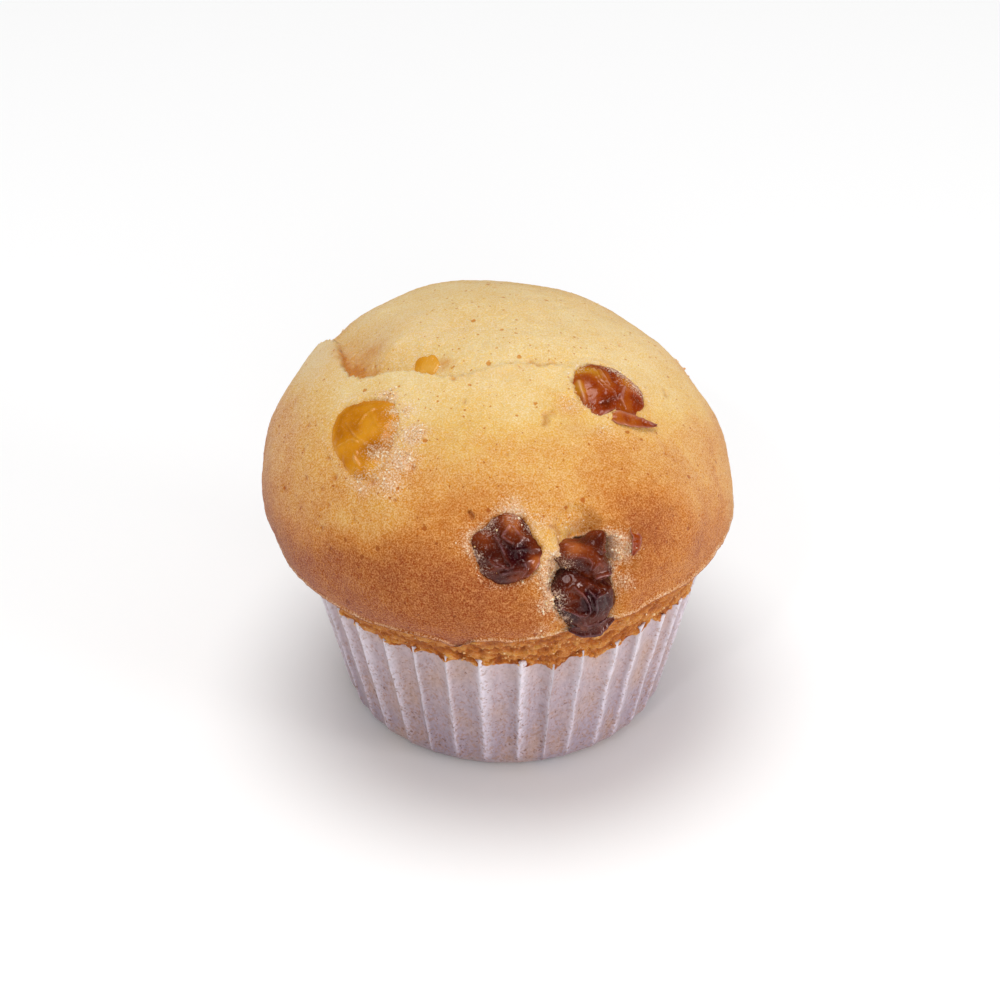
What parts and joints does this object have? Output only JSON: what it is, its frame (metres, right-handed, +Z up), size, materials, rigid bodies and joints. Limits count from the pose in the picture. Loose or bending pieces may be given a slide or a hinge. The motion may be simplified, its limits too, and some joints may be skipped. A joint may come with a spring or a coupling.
{
  "type": "raisin muffin in a paper case",
  "caption": "Domed baked muffin with raisins set in its crust, standing in a pleated paper case.",
  "frame": {"origin": "centre of the paper case's flat base, on the surface that it stands on", "axes": "+Z up, -Y towards the front, where the crust has split over two raisins, +X to the right seen from the front"},
  "size_m": [0.0743, 0.0783, 0.0678],
  "materials": {
    "paper": "matte thin white baking paper",
    "crust": "matte golden baked crust, browner towards the lip",
    "golden_raisin": "glossy wrinkled amber skin",
    "red_raisin": "glossy wrinkled red-brown skin",
    "dark_raisin": "glossy wrinkled dark brown skin"
  },
  "bodies": {
    "root": {"paper_case": "paper", "muffin_sponge": "crust", "raisin_golden_front": "golden_raisin", "raisin_red_top": "red_raisin", "raisin_dark_middle": "dark_raisin", "raisin_dark_split": "dark_raisin", "raisin_brown_split": "dark_raisin", "raisin_amber_fold": "golden_raisin", "raisin_dark_back": "dark_raisin", "raisin_golden_back": "golden_raisin", "raisin_red_side": "red_raisin"}
  },
  "joints": []
}
